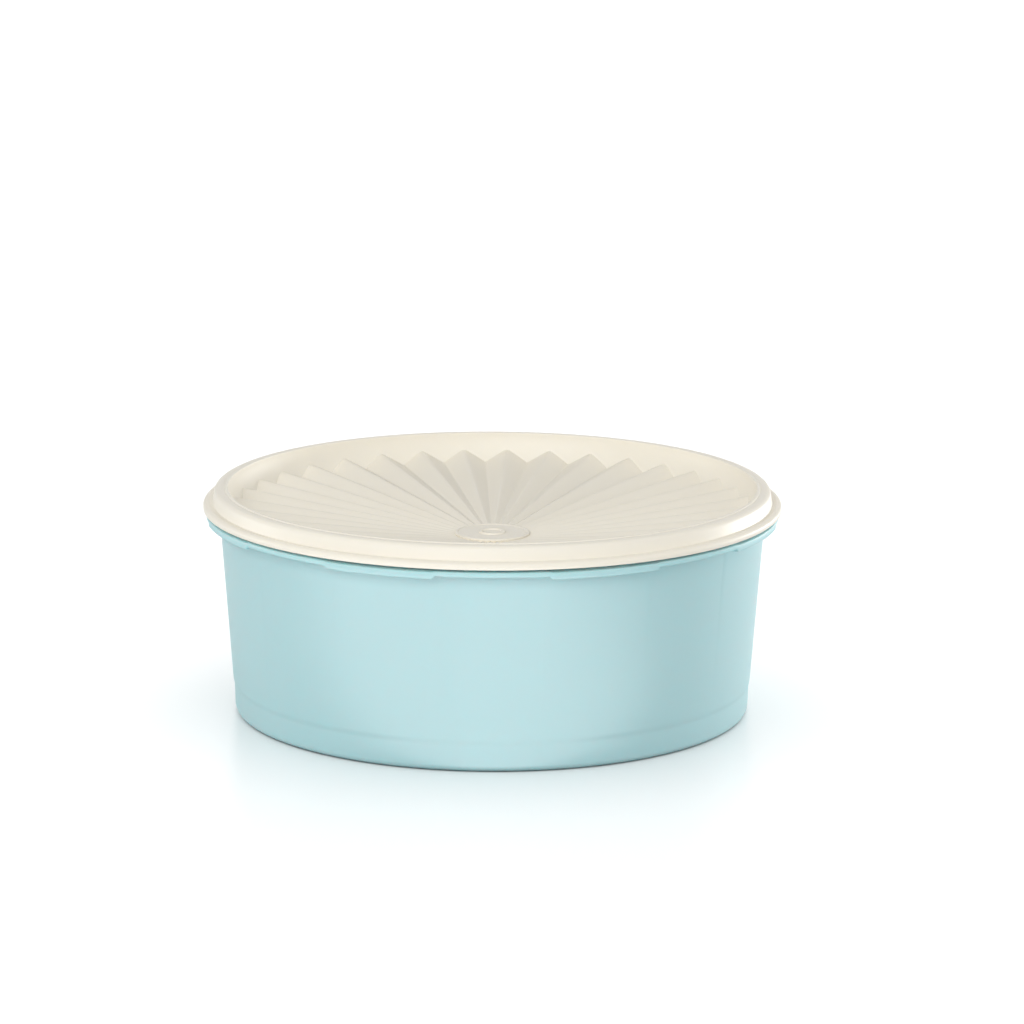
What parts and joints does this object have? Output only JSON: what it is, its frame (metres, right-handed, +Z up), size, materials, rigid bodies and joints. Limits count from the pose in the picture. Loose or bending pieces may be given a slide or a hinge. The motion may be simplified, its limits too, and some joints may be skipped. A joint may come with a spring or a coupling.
{
  "type": "stacking canister",
  "caption": "Low round stacking canister: a tapered food keeper with a stepped rim flange and a pleated press-on lid whose dish takes the next canister's foot.",
  "frame": {"origin": "middle of the canister's foot, on the surface it stands on", "axes": "+Z up along the canister's axis, -Y to the front as pictured, +X to the right"},
  "size_m": [0.2, 0.2, 0.0785],
  "materials": {
    "body_plastic": "satin moulded polypropylene, pale aqua, slightly translucent",
    "lid_plastic": "satin moulded polyethylene, warm cream"
  },
  "bodies": {
    "canister": {"canister_body": "body_plastic"},
    "lid": {"pleated_lid": "lid_plastic"}
  },
  "joints": [
    {"name": "lid_lift", "type": "slide", "parent": "canister", "child": "lid", "axis": [0, 0, 1], "range_m": [0, 0.12]}
  ]
}
